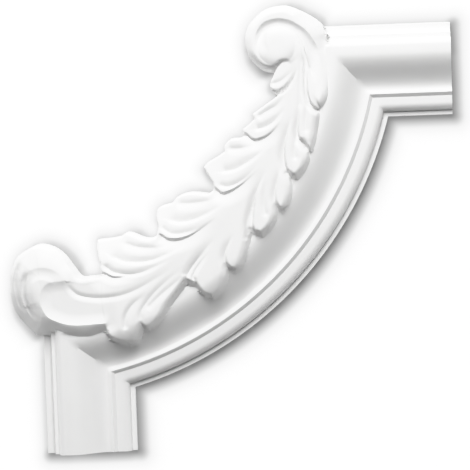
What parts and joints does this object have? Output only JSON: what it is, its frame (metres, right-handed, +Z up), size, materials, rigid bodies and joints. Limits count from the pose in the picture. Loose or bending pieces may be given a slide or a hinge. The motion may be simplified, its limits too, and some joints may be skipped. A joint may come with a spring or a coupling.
{
  "type": "moulding corner piece",
  "caption": "Panel moulding corner: a quarter-round moulding between two square-cut stubs, with an acanthus leaf, a volute and a scroll along its outer side, on a flat back.",
  "frame": {"origin": "on the flat back, in the middle of the moulding's width, half-way round its arc", "axes": "+Z up the wall, +X to the right as seen from the front, +Y into the wall, so the relief faces -Y"},
  "size_m": [0.3914, 0.0382, 0.385],
  "materials": {
    "white_casting": "matte"
  },
  "bodies": {
    "root": {"corner_piece": "white_casting"}
  },
  "joints": []
}
